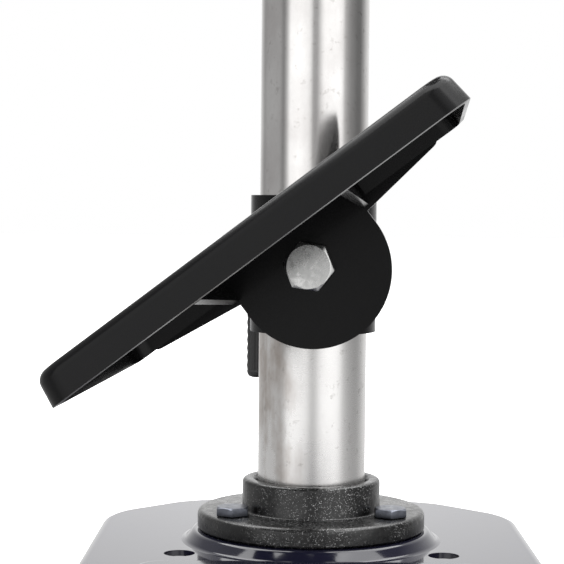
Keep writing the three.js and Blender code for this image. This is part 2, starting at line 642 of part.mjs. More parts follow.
const stopX = stopFrom + stopRing.width / 2;
function depthStopRing() {
  const x1 = stopFrom + stopRing.width;
  return cut(
    crossCylinder(stopRing.radius, stopFrom, x1, pinionY, rack.z, 32),
    crossCylinder(feed.shaft + gap, stopFrom - 1, x1 + 1, pinionY, rack.z),
    cylinder(stopRing.screw + gap, rack.z, rack.z + 2 * stopRing.radius, stopX, pinionY, 12),
  );
}
function depthStopScrew() {
  const [from, seat] = [rack.z + stopRing.screwSeat, rack.z + stopRing.radius + 2];
  return union(
    cylinder(stopRing.screw, from, seat + 1, stopX, pinionY, 12),
    cylinder(stopRing.screwHead, seat, seat + stopRing.screwHeadLength, stopX, pinionY, 16),
  );
}
add("depth_stop_ring", depthStopRing(), zinc);
add("depth_stop_screw", depthStopScrew(), darkSteel);
const setScrewEnds = [column.radius + gap, headHalf + 1];
add("head_set_screw", crossCylinder(setScrew.radius, ...setScrewEnds, 0, setScrew.z, 16), darkSteel);

// ---- spindle, bearings and chuck ----
const ring = (outer, z0, z1) => tube(outer, bearing.inner + gap, z0, z1, 0, quillY, 24);
add("lower_bearing", ring(bearing.outer, quill.bottom + gap, quill.bottom + bearing.width - gap), groundSteel);
add("upper_bearing", ring(bearing.upperOuter, quill.top - bearing.width + gap, quill.top - gap), groundSteel);
const noseTop = quill.bottom - 6;
add("spindle", turned([
  [0, spindle.noseBottom], [spindle.noseRadius, spindle.noseBottom], [spindle.radius, noseTop],
  [spindle.flangeRadius, noseTop + gap], [spindle.flangeRadius, quill.bottom - gap],
  [spindle.radius, quill.bottom - gap],
  [spindle.radius, quill.top + 4], [spindle.driveRadius, quill.top + 5],
  [spindle.driveRadius, spindle.top], [0, spindle.top],
], 0, quillY, 24), groundSteel);

// A jaw's cylinder on its leaning axis, from its shut tip height, moved up its bore by lift.
const jawTilt = jaw.angle * radians;
function jawRod(radius, from, to, angle, lift) {
  const rodBody = cylinder(radius, from, to, 0, 0, 16).rotate([0, jaw.angle, 0]);
  const [x, z] = [jaw.offset + lift * Math.sin(jawTilt), jaw.tip + lift * Math.cos(jawTilt)];
  return rodBody.translate([x, 0, z]).rotate([0, 0, angle]).translate([0, quillY, 0]);
}
const jawAngles = [90, 210, 330];
function keyHole(angle) {
  const z = chuck.sleeveTop + 2 * chuck.keyHole;
  const hole = crossCylinder(chuck.keyHole, chuck.radius / 2, 2 * chuck.radius, 0, z, 12);
  return hole.rotate([0, 0, angle - 60]).translate([0, quillY, 0]);
}
function chuckBody() {
  const { radius: r, top, bottom } = chuck;
  const body = turned([
    [0, bottom], [r - 7, bottom], [r - 2, bottom + 7], [r, bottom + 7],
    [r, top - 8], [r - 5, top - gap], [0, top - gap],
  ], 0, quillY, 24);
  const socket = turned([
    [0, spindle.noseBottom - 3], [spindle.noseRadius + gap, spindle.noseBottom - 3],
    [spindle.radius + gap, noseTop], [spindle.radius + gap, top + 1], [0, top + 1],
  ], 0, quillY, 24);
  return cut(
    body, socket, cylinder(chuck.mouth, bottom - 20, chuck.mouthTop, 0, quillY, 24),
    ...jawAngles.map((a) => jawRod(jaw.radius + gap, -20, jaw.length + gap, a, jaw.open)),
    ...jawAngles.map(keyHole),
  );
}
function chuckSleeve() {
  const { sleeve: r, sleeveBottom: z0, sleeveTop: z1 } = chuck;
  const inner = chuck.radius + gap;
  const body = turned([
    [inner, z0], [r - 1, z0], [r, z0 + 1], [r, z1 - 7], [r + 1.5, z1 - 6], [r - 0.5, z1], [inner, z1], [inner, z0],
  ], 0, quillY, 24);
  const notch = box(chuck.radius - 2, 2 * chuck.radius, -1, 1, z1 - 3, z1 + 5);
  const notches = Array.from({ length: chuck.teeth }, (_, k) => notch.rotate([0, 0, (360 / chuck.teeth) * k]));
  return cut(body, ...notches.map((body) => body.translate([0, quillY, 0])));
}
add("chuck_body", chuckBody(), groundSteel);
add("chuck_sleeve", chuckSleeve(), groundSteel);
for (const [i, angle] of jawAngles.entries()) {
  add(`chuck_jaw_${i + 1}`, jawRod(jaw.radius, 0, jaw.length, angle, jaw.open), darkSteel);
}

// ---- belt drive ----
function stepPulley(x, y, radii, bore) {
  const profile = [[bore, pulley.bottom]];
  radii.forEach((r, i) => {
    const z = pulley.bottom + i * pulley.step;
    const [inner, next] = [r - pulley.groove, z + pulley.step];
    profile.push([r, z], [r, z + 0.8], [inner, z + 2.4], [inner, next - 2.4], [r, next - 0.8], [r, next]);
  });
  const top = pulley.bottom + radii.length * pulley.step;
  profile.push([bore, top], [bore, pulley.bottom]);
  const clean = profile.filter(([r, z], i) => i === 0 || r !== profile[i - 1][0] || z !== profile[i - 1][1]);
  return turned(clean, x, y, 20);
}
const motorRadii = pulley.radii.toReversed();
function driveBelt() {
  const z = pulley.bottom + (pulley.beltStep + 0.5) * pulley.step;
  const steps = [pulley.radii[pulley.beltStep], motorRadii[pulley.beltStep]];
  const [front, rear] = steps.map((r) => r - pulley.groove + gap + 0.35);
  const band = (more, over) => {
    const ring = beltRing(front + more, rear + more, motorY, 20);
    return loft([[ring, z - belt.width / 2 - over], [ring, z + belt.width / 2 + over]]);
  };
  return cut(band(belt.thickness, 0), band(0, 1));
}
add("spindle_pulley", stepPulley(0, quillY, pulley.radii, pulley.bore), alloy);
add("motor_pulley", stepPulley(0, motorY, motorRadii, motor.shaftRadius + gap), alloy);
add("drive_belt", driveBelt(), rubber);
const seatRadius = quill.radius + 3; // the pulley's bearing stands on the head around the quill's bore
const [seatFrom, seatTo] = [head.top + gap, pulley.bottom - gap];
add("pulley_bearing", tube(seatRadius, pulley.bore + gap, seatFrom, seatTo, 0, quillY, 24), groundSteel);

// ---- belt cover: pan, hinged lid, pin and knob ----
const lidHinge = { x: cover.hingeX, z: cover.lidBottom };
const [lidKnobX, lidKnobY] = [cover.radius - lidKnob.inset, quillY + cover.radius / 2];
const knuckles = { pan: [[-40, -20.3], [-9.7, 10]], lid: [[-20, -10]] };
function beltPan() {
  const at = (inset) => beltRing(cover.radius - inset, cover.radius - inset, motorY, 14);
  const [outer, inner] = [at(0), at(cover.wall)];
  const [z0, z1] = [cover.floor, cover.lidBottom - gap];
  const shell = cut(loft([[outer, z0], [outer, z1]]), loft([[inner, z0 + cover.wall], [inner, z1 + 1]]));
  const lugs = knuckles.pan.map(([y0, y1]) => union(
    depthCylinder(cover.hingeRadius, y0, y1, lidHinge.x, lidHinge.z, 16),
    box(lidHinge.x - cover.hingeRadius, -cover.radius + 0.5, y0, y1, lidHinge.z - 9, lidHinge.z - 0.5),
  ));
  const [hole, forward] = [cover.shaftHole, motorY - motor.slide];
  const shaftHole = union(
    cylinder(hole, 0, endless, 0, motorY, 24),
    cylinder(hole, 0, endless, 0, forward, 24),
    box(-hole, hole, forward, motorY, 0, endless),
  );
  return cut(
    union(shell, ...lugs),
    loft([[inner, z0 + cover.wall], [inner, z1 + 1]]),
    depthCylinder(pin.radius + gap, -60, 60, lidHinge.x, lidHinge.z, 12),
    cylinder(seatRadius + 2 * gap, 0, endless, 0, quillY, 24), shaftHole,
  );
}
function beltLid() {
  const { radius: r, wall: w, lidBottom: z0, top: z1 } = cover;
  const at = (inset) => beltRing(r - inset, r - inset, motorY, 14);
  const outer = loft([[at(0), z0], [at(1), z1 - 6], [at(3), z1 - 2], [at(7), z1]]);
  const inner = loft([[at(w), z0 - 1], [at(w + 1), z1 - 6 - w / 2], [at(w + 6), z1 - w]]);
  const [y0, y1] = knuckles.lid[0];
  const lug = union(
    depthCylinder(cover.hingeRadius, y0, y1, lidHinge.x, lidHinge.z, 16),
    box(lidHinge.x, -r + 1, y0, y1, lidHinge.z + 0.5, lidHinge.z + 9),
  );
  const latch = cylinder(lidKnob.stem + gap, z1 - 8, z1 + 5, lidKnobX, lidKnobY, 12);
  const pinBore = depthCylinder(pin.radius + gap, -60, 60, lidHinge.x, lidHinge.z, 12);
  return cut(cut(union(outer, lug), inner), pinBore, latch);
}
function lidKnobBody() {
  const { stem, radius: r, height } = lidKnob;
  const seat = cover.top + gap;
  return turned([
    [0, seat - 7], [stem, seat - 7], [stem, seat], [r - 1, seat],
    [r, seat + 3], [r - 1, seat + height - 1], [0, seat + height],
  ], lidKnobX, lidKnobY, 16);
}
add("belt_pan", beltPan(), blackGloss);
add("belt_lid", beltLid(), blackGloss);
const pinEnds = [knuckles.pan[0][0] - pin.over, knuckles.pan[1][1] + pin.over];
add("lid_hinge_pin", depthCylinder(pin.radius, ...pinEnds, lidHinge.x, lidHinge.z, 12), zinc);
add("lid_knob", lidKnobBody(), blackPlastic);

// ---- motor on its sliding plate ----
function motorBody() {
  const { radius: r, bottom: z0, top: z1, endCap: e } = motor;
  const body = turned([
    [0, z0], [r - 10, z0], [r - 3, z0 + 5], [r - 2, z0 + e], [r, z0 + e],
    [r, z1 - e], [r - 2, z1 - e], [r - 3, z1 - 5], [r - 10, z1], [0, z1],
  ], 0, motorY, 24);
  const [footHalf, footFront] = [rodX - rod.radius, plateFront + plate.thickness + gap];
  const foot = box(-footHalf, footHalf, footFront, motorY - r + 8, plate.bottom + 6, plate.top - 10);
  return cut(union(body, foot), cylinder(motor.shaftRadius + gap, z1 - motor.shaftSeat, z1 + 1, 0, motorY, 24));
}
add("motor_body", motorBody(), greyPaint);
const shaftFrom = motor.top - motor.shaftSeat + gap;
add("motor_shaft", cylinder(motor.shaftRadius, shaftFrom, motor.shaftTop, 0, motorY, 24), groundSteel);
const [plateRear, rodNeck] = [plateFront + plate.thickness, rod.radius - 2];
add("motor_plate", cut(
  box(-plate.half, plate.half, plateFront, plateRear, plate.bottom, plate.top),
  ...[-1, 1].map((side) => depthCylinder(rodNeck + gap, plateFront - 1, plateRear + 1, side * rodX, rod.z, 20)),
), blackGloss);
for (const [side, name] of [[-1, "left"], [1, "right"]]) {
  add(`tension_rod_${name}`, union(
    depthCylinder(rod.radius, rod.from, plateFront - gap, side * rodX, rod.z, 20),
    depthCylinder(rodNeck, plateFront - 1, plateRear + rod.end, side * rodX, rod.z, 16),
  ), groundSteel);
}
const lockKnobX = headHalf + 8;
add("tension_lock_knob", union(
  crossCylinder(tensionLock.screw, rodX + rod.radius + 2 * gap, lockKnobX + 1, tensionLock.y, rod.z, 12),
  crossCylinder(tensionLock.radius, lockKnobX, lockKnobX + tensionLock.length, tensionLock.y, rod.z, 12),
), blackPlastic);

// ---- switch box with its two buttons, and the cable gland ----
const boxInner = -headHalf - gap;
const boxOuter = boxInner - switchBox.depth;
const boxMiddle = { x: (boxInner + boxOuter) / 2, y: (switchBox.front + switchBox.rear) / 2 };
function switchBoxBody() {
  const { front: y0, rear: y1, bottom: z0, top: z1, wall: w } = switchBox;
  const [x0, x1, y] = [boxOuter, boxInner, boxMiddle.y];
  return cut(
    box(x0, x1, y0, y1, z0, z1),
    box(x0 + w, x1 + 1, y0 + w, y1 - w, z0 + w, z1 - w),
    ...[button.startZ, button.stopZ].map((z) => crossCylinder(button.radius + gap, x0 - 1, x0 + w + 1, y, z, 20)),
    cylinder(gland.neck + gap, z0 - 1, z0 + w + 1, boxMiddle.x, y, 16),
  );
}
function pushButton(z) {
  const flangeX = boxOuter + switchBox.wall + gap;
  return union(
    crossCylinder(button.radius, flangeX + 1 - button.length, flangeX + 1, boxMiddle.y, z, 20),
    crossCylinder(button.radius + 1.8, flangeX, flangeX + 2, boxMiddle.y, z, 20),
  );
}
function cableGland() {
  const z = switchBox.bottom - gap;
  const { x, y } = boxMiddle;
  const collarPart = cylinder(gland.nut, z - 7, z, x, y, 16);
  const cap = cylinder(gland.nut - 1.5, z - 13, z - 6, x, y, 16);
  const neck = cylinder(gland.neck, z - 1, z + 8, x, y, 16);
  return cut(union(collarPart, cap, neck), cylinder(gland.bore, 0, endless, x, y, 12));
}
add("switch_box", switchBoxBody(), blackPlastic);
add("start_button", pushButton(button.startZ), green);
add("stop_button", pushButton(button.stopZ), red);
add("cable_gland", cableGland(), blackPlastic);

// ---- chuck guard on its upright pin ----
const flankSlope = (headHalf - head.frontRadius) / (headShoulder - quillY);
const armInner = -(headHalf - flankSlope * (headShoulder - guardPinY - guard.half) + gap);
function guardBracket() {
  const { pinX: x, pinRadius: r, half, armHeight, top } = guard;
  const [y, z0] = [guardPinY, head.bottom + 1];
  return union(
    box(x - 6, armInner, y - half, y + half, z0, z0 + armHeight),
    cylinder(r, top - 13, z0 + 1, x, y, 16),
    cylinder(r + 2, top - 16, top - 10 - gap, x, y, 16),
  );
}
function chuckGuard() {
  const { inner: r, wall: w, bottom: z0, top: z1, pinX: px } = guard;
  const rearHalf = box(-80, 80, quillY, quillY + 80, z0 - 1, z1 + 1);
  const shell = cut(tube(r + w, r, z0, z1, 0, quillY, 32), rearHalf);
  const lug = union(
    cylinder(6, z1 - 10, z1, px, guardPinY, 20),
    box(px - 6, -r + 1, quillY - 6, guardPinY, z1 - 10, z1),
  );
  const pinBore = cylinder(guard.pinRadius + gap, 0, endless, px, guardPinY, 16);
  return cut(cut(union(shell, lug), cylinder(r, z0 - 1, z1 + 1, 0, quillY, 32)), pinBore);
}
add("guard_bracket", guardBracket(), zinc);
add("chuck_guard", chuckGuard(), clear);

// ---- the frame: origin under the middle of the whole machine ----
machine.updateMatrixWorld(true);
const bounds = new THREE.Box3().setFromObject(machine, true);
const centre = bounds.getCenter(new THREE.Vector3());
machine.position.set(-centre.x, -centre.y, -bounds.min.z);
group.add(machine);

export default group;
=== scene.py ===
import json
import math
import bpy
from mathutils import Matrix, Vector

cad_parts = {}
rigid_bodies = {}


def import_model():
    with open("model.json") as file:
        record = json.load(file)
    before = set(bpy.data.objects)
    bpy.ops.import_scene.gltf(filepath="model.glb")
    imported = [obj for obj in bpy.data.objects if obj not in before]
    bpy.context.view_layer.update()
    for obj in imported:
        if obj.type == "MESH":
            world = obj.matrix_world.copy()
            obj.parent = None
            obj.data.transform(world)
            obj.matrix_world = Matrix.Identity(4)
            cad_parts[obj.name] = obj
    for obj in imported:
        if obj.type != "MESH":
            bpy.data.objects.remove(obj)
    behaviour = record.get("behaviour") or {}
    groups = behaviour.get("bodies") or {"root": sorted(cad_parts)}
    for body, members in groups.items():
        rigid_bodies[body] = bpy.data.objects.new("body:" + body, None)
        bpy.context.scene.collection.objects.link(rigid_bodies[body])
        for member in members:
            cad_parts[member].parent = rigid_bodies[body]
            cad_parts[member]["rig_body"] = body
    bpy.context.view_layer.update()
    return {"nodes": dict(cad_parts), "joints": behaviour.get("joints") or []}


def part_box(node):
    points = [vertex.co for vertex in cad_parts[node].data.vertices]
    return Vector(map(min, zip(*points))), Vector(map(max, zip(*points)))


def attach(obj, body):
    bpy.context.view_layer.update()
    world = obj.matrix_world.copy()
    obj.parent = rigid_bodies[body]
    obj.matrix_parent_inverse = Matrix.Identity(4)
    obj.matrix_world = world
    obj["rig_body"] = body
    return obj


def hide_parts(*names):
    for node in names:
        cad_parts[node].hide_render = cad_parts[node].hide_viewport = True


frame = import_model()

# small bench drill press, in metres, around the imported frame
mm = 0.001
scene = bpy.context.scene
rad = math.radians


# places that come from the frame
columnLow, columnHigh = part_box("column")
axisX = (columnLow.x + columnHigh.x) / 2
axisY = (columnLow.y + columnHigh.y) / 2
flangeLow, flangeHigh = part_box("column_flange")
baseLow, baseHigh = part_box("base_plate")
joints = {joint["name"]: joint for joint in frame["joints"]}


def jointPoint(name):
    return Vector(joints[name]["pos_m"])


def jointAxis(name):
    return Vector(joints[name]["axis"])


quillPoint = jointPoint("pulley_spin")
tiltPoint = jointPoint("table_tilt")
levelAngle = sum(joints["table_tilt"]["range_deg"]) / 2  # the turn that levels the table
swingAngle = math.degrees(math.atan2(jointAxis("table_tilt").x, jointAxis("table_tilt").y))
swungPlace = Matrix.Translation((axisX, axisY, 0)) @ Matrix.Rotation(rad(-swingAngle), 4, "Z")
pivotX = (swungPlace.inverted() @ tiltPoint).x
tiltedPlace = swungPlace @ Matrix.Translation((pivotX, 0, tiltPoint.z))
tablePlace = tiltedPlace @ Matrix.Rotation(rad(-levelAngle), 4, "Y")


# camera, light and floor
cameraSet = {
    "lens": 109.2, "left": 0.0082, "back": 0.7315, "rise": 0.1403,
    "yaw": 0.40, "pitch": 2.74, "roll": 0.5,
}


def makeCamera():
    place = (axisX - cameraSet["left"], axisY - cameraSet["back"], flangeLow.z + cameraSet["rise"])
    bpy.ops.object.camera_add(location=place)
    camera = bpy.context.object
    camera.data.lens = cameraSet["lens"]
    camera.data.sensor_width = 36
    camera.data.clip_start = 0.01
    yaw, pitch = rad(cameraSet["yaw"]), rad(cameraSet["pitch"])
    ahead = Vector((-math.sin(yaw) * math.cos(pitch), math.cos(yaw) * math.cos(pitch), -math.sin(pitch)))
    facing = ahead.to_track_quat("-Z", "Y").to_matrix().to_4x4()
    turn = facing @ Matrix.Rotation(rad(cameraSet["roll"]), 4, "Z")
    camera.rotation_euler = turn.to_euler()
    scene.camera = camera


makeCamera()
print("camera placed")


# shader maths
class Wire:  # one socket, so that shader maths reads as an expression
    def __init__(self, finish, socket):
        self.finish = finish
        self.socket = socket

    def maths(self, operation, first, second):
        return self.finish.node("ShaderNodeMath", {"operation": operation}, {0: first, 1: second})

    def __add__(self, other):
        return self.maths("ADD", self, other)

    def __radd__(self, other):
        return self.maths("ADD", other, self)

    def __sub__(self, other):
        return self.maths("SUBTRACT", self, other)

    def __rsub__(self, other):
        return self.maths("SUBTRACT", other, self)

    def __mul__(self, other):
        return self.maths("MULTIPLY", self, other)

    def __rmul__(self, other):
        return self.maths("MULTIPLY", other, self)

    def __pow__(self, other):
        return self.maths("POWER", self, other)


class Finish:  # one material on a Principled shader
    def __init__(self, name, fixed):
        self.material = bpy.data.materials.new(name)
        self.material.use_nodes = True
        self.tree = self.material.node_tree
        self.shader = self.tree.nodes["Principled BSDF"]
        for key, value in fixed.items():
            self.shader.inputs[key].default_value = value

    def node(self, kind, settings=None, inputs=None, output=0):
        made = self.tree.nodes.new(kind)
        for key, value in (settings or {}).items():
            setattr(made, key, value)
        for key, value in (inputs or {}).items():
            if isinstance(value, Wire):
                self.tree.links.new(value.socket, made.inputs[key])
            else:
                made.inputs[key].default_value = value
        return Wire(self, made.outputs[output])

    def place(self, scale=(1, 1, 1)):
        where = self.node("ShaderNodeTexCoord", output=3)
        return self.node("ShaderNodeMapping", {}, {"Vector": where, "Scale": scale})

    def noise(self, scale, detail=2.0, rough=0.5, stretch=(1, 1, 1)):
        values = {"Vector": self.place(stretch), "Scale": scale, "Detail": detail, "Roughness": rough}
        return self.node("ShaderNodeTexNoise", {}, values)

    def cells(self, scale, feature="F1"):
        values = {"Vector": self.place(), "Scale": scale}
        return self.node("ShaderNodeTexVoronoi", {"feature": feature}, values)

    def along(self, axis):
        where = self.node("ShaderNodeTexCoord", output=3)
        return self.node("ShaderNodeSeparateXYZ", {}, {0: where}, axis)

    def span(self, value, low, high, start=0.0, end=1.0):
        # takes low..high to start..end and holds it at the ends
        return self.node("ShaderNodeMapRange", {"clamp": True}, {0: value, 1: low, 2: high, 3: start, 4: end})

    def mix(self, factor, first, second):
        return self.node("ShaderNodeMix", {"data_type": "RGBA"}, {0: factor, 6: first, 7: second}, output=2)

    def set(self, key, value):
        self.tree.links.new(value.socket, self.shader.inputs[key])

    def bump(self, height, strength, distance):
        values = {"Height": height, "Strength": strength, "Distance": distance}
        self.set("Normal", self.node("ShaderNodeBump", {}, values))


def grey(value):
    return (value, value, value, 1)


finishes = {}


def glossPaint(name, shade, rough, coat, wave, ior=1.5, shine=0.5):
    fixed = {"IOR": ior, "Specular IOR Level": shine, "Coat Weight": coat, "Coat Roughness": 0.06}
    f = Finish(name, fixed)
    drift = f.noise(18, 3)
    dust = f.noise(900, 1)
    lighter = tuple(c * 1.5 + 0.001 for c in shade[:3]) + (1,)
    f.set("Base Color", f.mix(f.span(drift, 0.35, 0.65, 0, 0.35), shade, lighter))
    f.set("Roughness", f.span(drift + dust * 0.2, 0.3, 0.9, rough * 0.8, rough * 1.35))
    peel = f.noise(160, 2, 0.4) + f.noise(700, 1) * 0.25
    f.bump(peel, wave, 0.15 * mm)
    finishes[name] = f.material


def hammeredPaint():
    f = Finish("hammeredPaint", {"IOR": 1.5, "Coat Weight": 0.1, "Coat Roughness": 0.1})
    pits = f.cells(420, "SMOOTH_F1")
    grit = f.noise(900, 3, 0.7)
    x, y = f.along(0) - axisX, f.along(1) - axisY
    reach = (x * x + y * y) ** 0.5
    # painted glints: the pale specks below stand in for light glinting off the hammered paint; these masks
    # crowd them into a ring at the hub's foot and onto the front of the hub
    foot = f.span(reach, 34.5 * mm, 31 * mm) * f.span(reach, 29.6 * mm, 30.2 * mm)
    front = f.span(y, 0, -20 * mm) * f.span(x * x, 0.0009, 0.0001)
    glintDensity = f.span(f.noise(60, 3) + front * 0.14 + foot * 0.30, 0.46, 0.70)
    glintDots = f.span(f.cells(1500), 0.34, 0.22) * f.span(f.noise(1150, 2, 0.6), 0.50, 0.56)
    glintCrumbs = f.span(f.noise(1500, 2, 0.7), 0.62, 0.66)
    base = f.mix(f.span(grit, 0.3, 0.7), grey(0.003), grey(0.008))
    # the pale grey mixed in here is painted glints
    f.set("Base Color", f.mix((glintDots + glintCrumbs * 0.35) * glintDensity, base, grey(0.55)))
    f.set("Roughness", f.span(pits + grit * 0.4, 0.2, 0.9, 0.18, 0.36))
    f.bump(pits * 0.8 + grit * 0.35, 0.45, 0.3 * mm)
    finishes["hammeredPaint"] = f.material


def columnSteel():
    f = Finish("columnSteel", {"Metallic": 1.0})
    rings = f.noise(260, 3, 0.6, (0.04, 0.04, 4))
    mottle = f.noise(34, 5, 0.65, (1, 1, 0.55))
    fine = f.noise(240, 3, 0.7)
    along = f.noise(60, 4, 0.7, (1, 1, 0.06))
    clean = f.mix(f.span(mottle, 0.35, 0.68), (0.74, 0.73, 0.72, 1), (0.58, 0.56, 0.55, 1))
    low = f.span(f.along(2), flangeHigh.z + 95 * mm, flangeHigh.z + 55 * mm)
    left = f.span(f.along(0), axisX + 1 * mm, axisX - 15 * mm)
    spots = f.span(mottle * 0.6 + along * 0.4, 0.46, 0.58)
    # painted reflection: the lower part of the column is made brighter, standing in for the pale floor it
    # would mirror
    paintedFloorReflection = f.mix(low * 0.6, clean, (0.88, 0.87, 0.86, 1))
    # brownish patches that darken the lower left of the column
    lowLeftPatches = f.mix(low * left * spots * 0.6, paintedFloorReflection, (0.30, 0.22, 0.16, 1))
    f.set("Base Color", f.mix(f.span(fine, 0.60, 0.72, 0, 0.35), lowLeftPatches, (0.30, 0.28, 0.26, 1)))
    shine = f.span(mottle * 0.7 + rings * 0.3, 0.3, 0.7, 0.09, 0.18)
    f.set("Roughness", shine + low * 0.14 + low * left * spots * 0.1)
    f.bump(rings * 0.5 + along * 0.35 + fine * 0.15, 0.08, 0.05 * mm)
    finishes["columnSteel"] = f.material


def bareMetal(name, shade, rough, scale=300, stretch=(1, 1, 1), dark=0.6):
    f = Finish(name, {"Metallic": 1.0})
    grain = f.noise(scale, 4, 0.65, stretch)
    patch = f.noise(40, 3)
    dull = tuple(c * dark for c in shade[:3]) + (1,)
    f.set("Base Color", f.mix(f.span(patch * 0.5 + grain * 0.5, 0.38, 0.68), shade, dull))
    f.set("Roughness", f.span(grain, 0.3, 0.7, rough * 0.7, rough * 1.4))
    f.bump(grain, 0.18, 0.06 * mm)
    finishes[name] = f.material


def moulded(name, shade, rough, texture=0.3):
    f = Finish(name, {"IOR": 1.46})
    grain = f.noise(1100, 2, 0.6)
    drift = f.noise(30, 3)
    lighter = tuple(min(1, c * 1.5 + 0.006) for c in shade[:3]) + (1,)
    f.set("Base Color", f.mix(f.span(drift, 0.3, 0.7), shade, lighter))
    f.set("Roughness", f.span(grain * 0.5 + drift * 0.5, 0.3, 0.7, rough * 0.85, rough * 1.15))
    f.bump(grain, texture, 0.08 * mm)
    finishes[name] = f.material


def clearPlastic():
    f = Finish("clearPlastic", {"IOR": 1.49, "Transmission Weight": 0.0, "Coat Weight": 0.6})
    scuff = f.noise(90, 4, 0.7, (1, 1, 0.3))
    f.shader.inputs["Base Color"].default_value = (0.82, 0.88, 0.9, 1)
    f.set("Alpha", f.span(scuff, 0.3, 0.75, 0.08, 0.2))
    f.set("Roughness", f.span(scuff, 0.35, 0.7, 0.05, 0.22))
    f.bump(scuff, 0.05, 0.05 * mm)
    finishes["clearPlastic"] = f.material


glossPaint("navyGloss", (0.009, 0.009, 0.021, 1), 0.10, 0.4, 0.05, ior=1.44)
glossPaint("blackGloss", (0.0025, 0.0025, 0.0027, 1), 0.2, 0.04, 0.12, ior=1.33, shine=0.3)
glossPaint("headPaint", (0.006, 0.006, 0.0065, 1), 0.26, 0.12, 0.45, ior=1.42)
glossPaint("motorGrey", (0.075, 0.082, 0.09, 1), 0.34, 0.2, 0.5)
hammeredPaint()
columnSteel()
bareMetal("groundSteel", (0.62, 0.61, 0.60, 1), 0.22, 260, (0.2, 0.2, 4))
bareMetal("zincPlate", (0.74, 0.74, 0.73, 1), 0.26, 420, dark=0.75)
bareMetal("darkSteel", (0.17, 0.18, 0.21, 1), 0.34, 380, dark=0.5)
bareMetal("pulleyAlloy", (0.60, 0.60, 0.61, 1), 0.32, 200, (0.2, 0.2, 6))
bareMetal("springSteel", (0.22, 0.25, 0.32, 1), 0.3, 300)
moulded("blackPlastic", (0.014, 0.014, 0.014, 1), 0.42)
moulded("gripPlastic", (0.012, 0.012, 0.012, 1), 0.5, 0.5)
moulded("beltRubber", (0.012, 0.012, 0.012, 1), 0.75, 0.8)
moulded("greenPlastic", (0.02, 0.30, 0.07, 1), 0.28, 0.1)
moulded("redPlastic", (0.55, 0.02, 0.015, 1), 0.28, 0.1)
clearPlastic()
print("finishes made")


# modelling helpers
def deselect():
    bpy.ops.object.select_all(action="DESELECT")


def only(piece):
    deselect()
    piece.select_set(True)
    bpy.context.view_layer.objects.active = piece


def settle(piece, place=None):  # the place goes into the mesh and the object stays at the origin
    only(piece)
    if place is not None:
        piece.matrix_world = place @ piece.matrix_world
    bpy.ops.object.transform_apply(location=True, rotation=True, scale=True)
    return piece


def smooth(piece, angle=35):
    only(piece)
    bpy.ops.object.shade_smooth_by_angle(angle=rad(angle))
    return piece


def evened(piece, angle=30):  # smooth, with the large flat faces deciding the shading
    return modify(smooth(piece, angle), "WEIGHTED_NORMAL", keep_sharp=True)


def modify(piece, kind, **settings):
    only(piece)
    made = piece.modifiers.new(kind.lower(), kind)
    for key, value in settings.items():
        setattr(made, key, value)
    bpy.ops.object.modifier_apply(modifier=made.name)
    return piece


def rounded(piece, width, segments=2, angle=35):
    limit = {"limit_method": "ANGLE", "angle_limit": rad(angle)}
    return modify(piece, "BEVEL", width=width, segments=segments, **limit)


def rod(radius, length, place, sides, lie):  # a cylinder in millimetres that lies along X or Y
    turn = {"X": (0, math.pi / 2, 0), "Y": (math.pi / 2, 0, 0)}[lie]
    size = {"vertices": sides, "radius": radius * mm, "depth": length * mm}
    bpy.ops.mesh.primitive_cylinder_add(location=[c * mm for c in place], rotation=turn, **size)
    return bpy.context.object


def drawIn(piece, test, scale, centre):  # scales the vertices that pass the test, about a point in millimetres
    only(piece)
    bpy.ops.object.mode_set(mode="EDIT")
    bpy.ops.mesh.select_mode(type="VERT")
    bpy.ops.mesh.select_all(action="DESELECT")
    bpy.ops.object.mode_set(mode="OBJECT")
    for v in piece.data.vertices:
        v.select = test(v.co)
    bpy.ops.object.mode_set(mode="EDIT")
    bpy.ops.transform.resize(value=(*scale, 1), center_override=[c * mm for c in centre])
    bpy.ops.object.mode_set(mode="OBJECT")


def hollowBelow(piece, wall):  # opens a block below and gives it a sheet's wall
    only(piece)
    bpy.ops.object.mode_set(mode="EDIT")
    bpy.ops.mesh.select_mode(type="FACE")
    bpy.ops.mesh.select_all(action="DESELECT")
    bpy.ops.object.mode_set(mode="OBJECT")
    for face in piece.data.polygons:
        face.select = face.normal.z < -0.9
    bpy.ops.object.mode_set(mode="EDIT")
    bpy.ops.mesh.delete(type="FACE")
    bpy.ops.object.mode_set(mode="OBJECT")
    modify(piece, "SOLIDIFY", thickness=wall * mm, offset=-1, use_even_offset=True)


def joined(pieces):
    deselect()
    for piece in pieces:
        piece.select_set(True)
    bpy.context.view_layer.objects.active = pieces[0]
    bpy.ops.object.join()
    return pieces[0]


def combine(piece, tools, operation="DIFFERENCE"):
    for tool in tools:
        modify(piece, "BOOLEAN", operation=operation, object=tool, solver="EXACT")
        bpy.data.objects.remove(tool)
    return piece


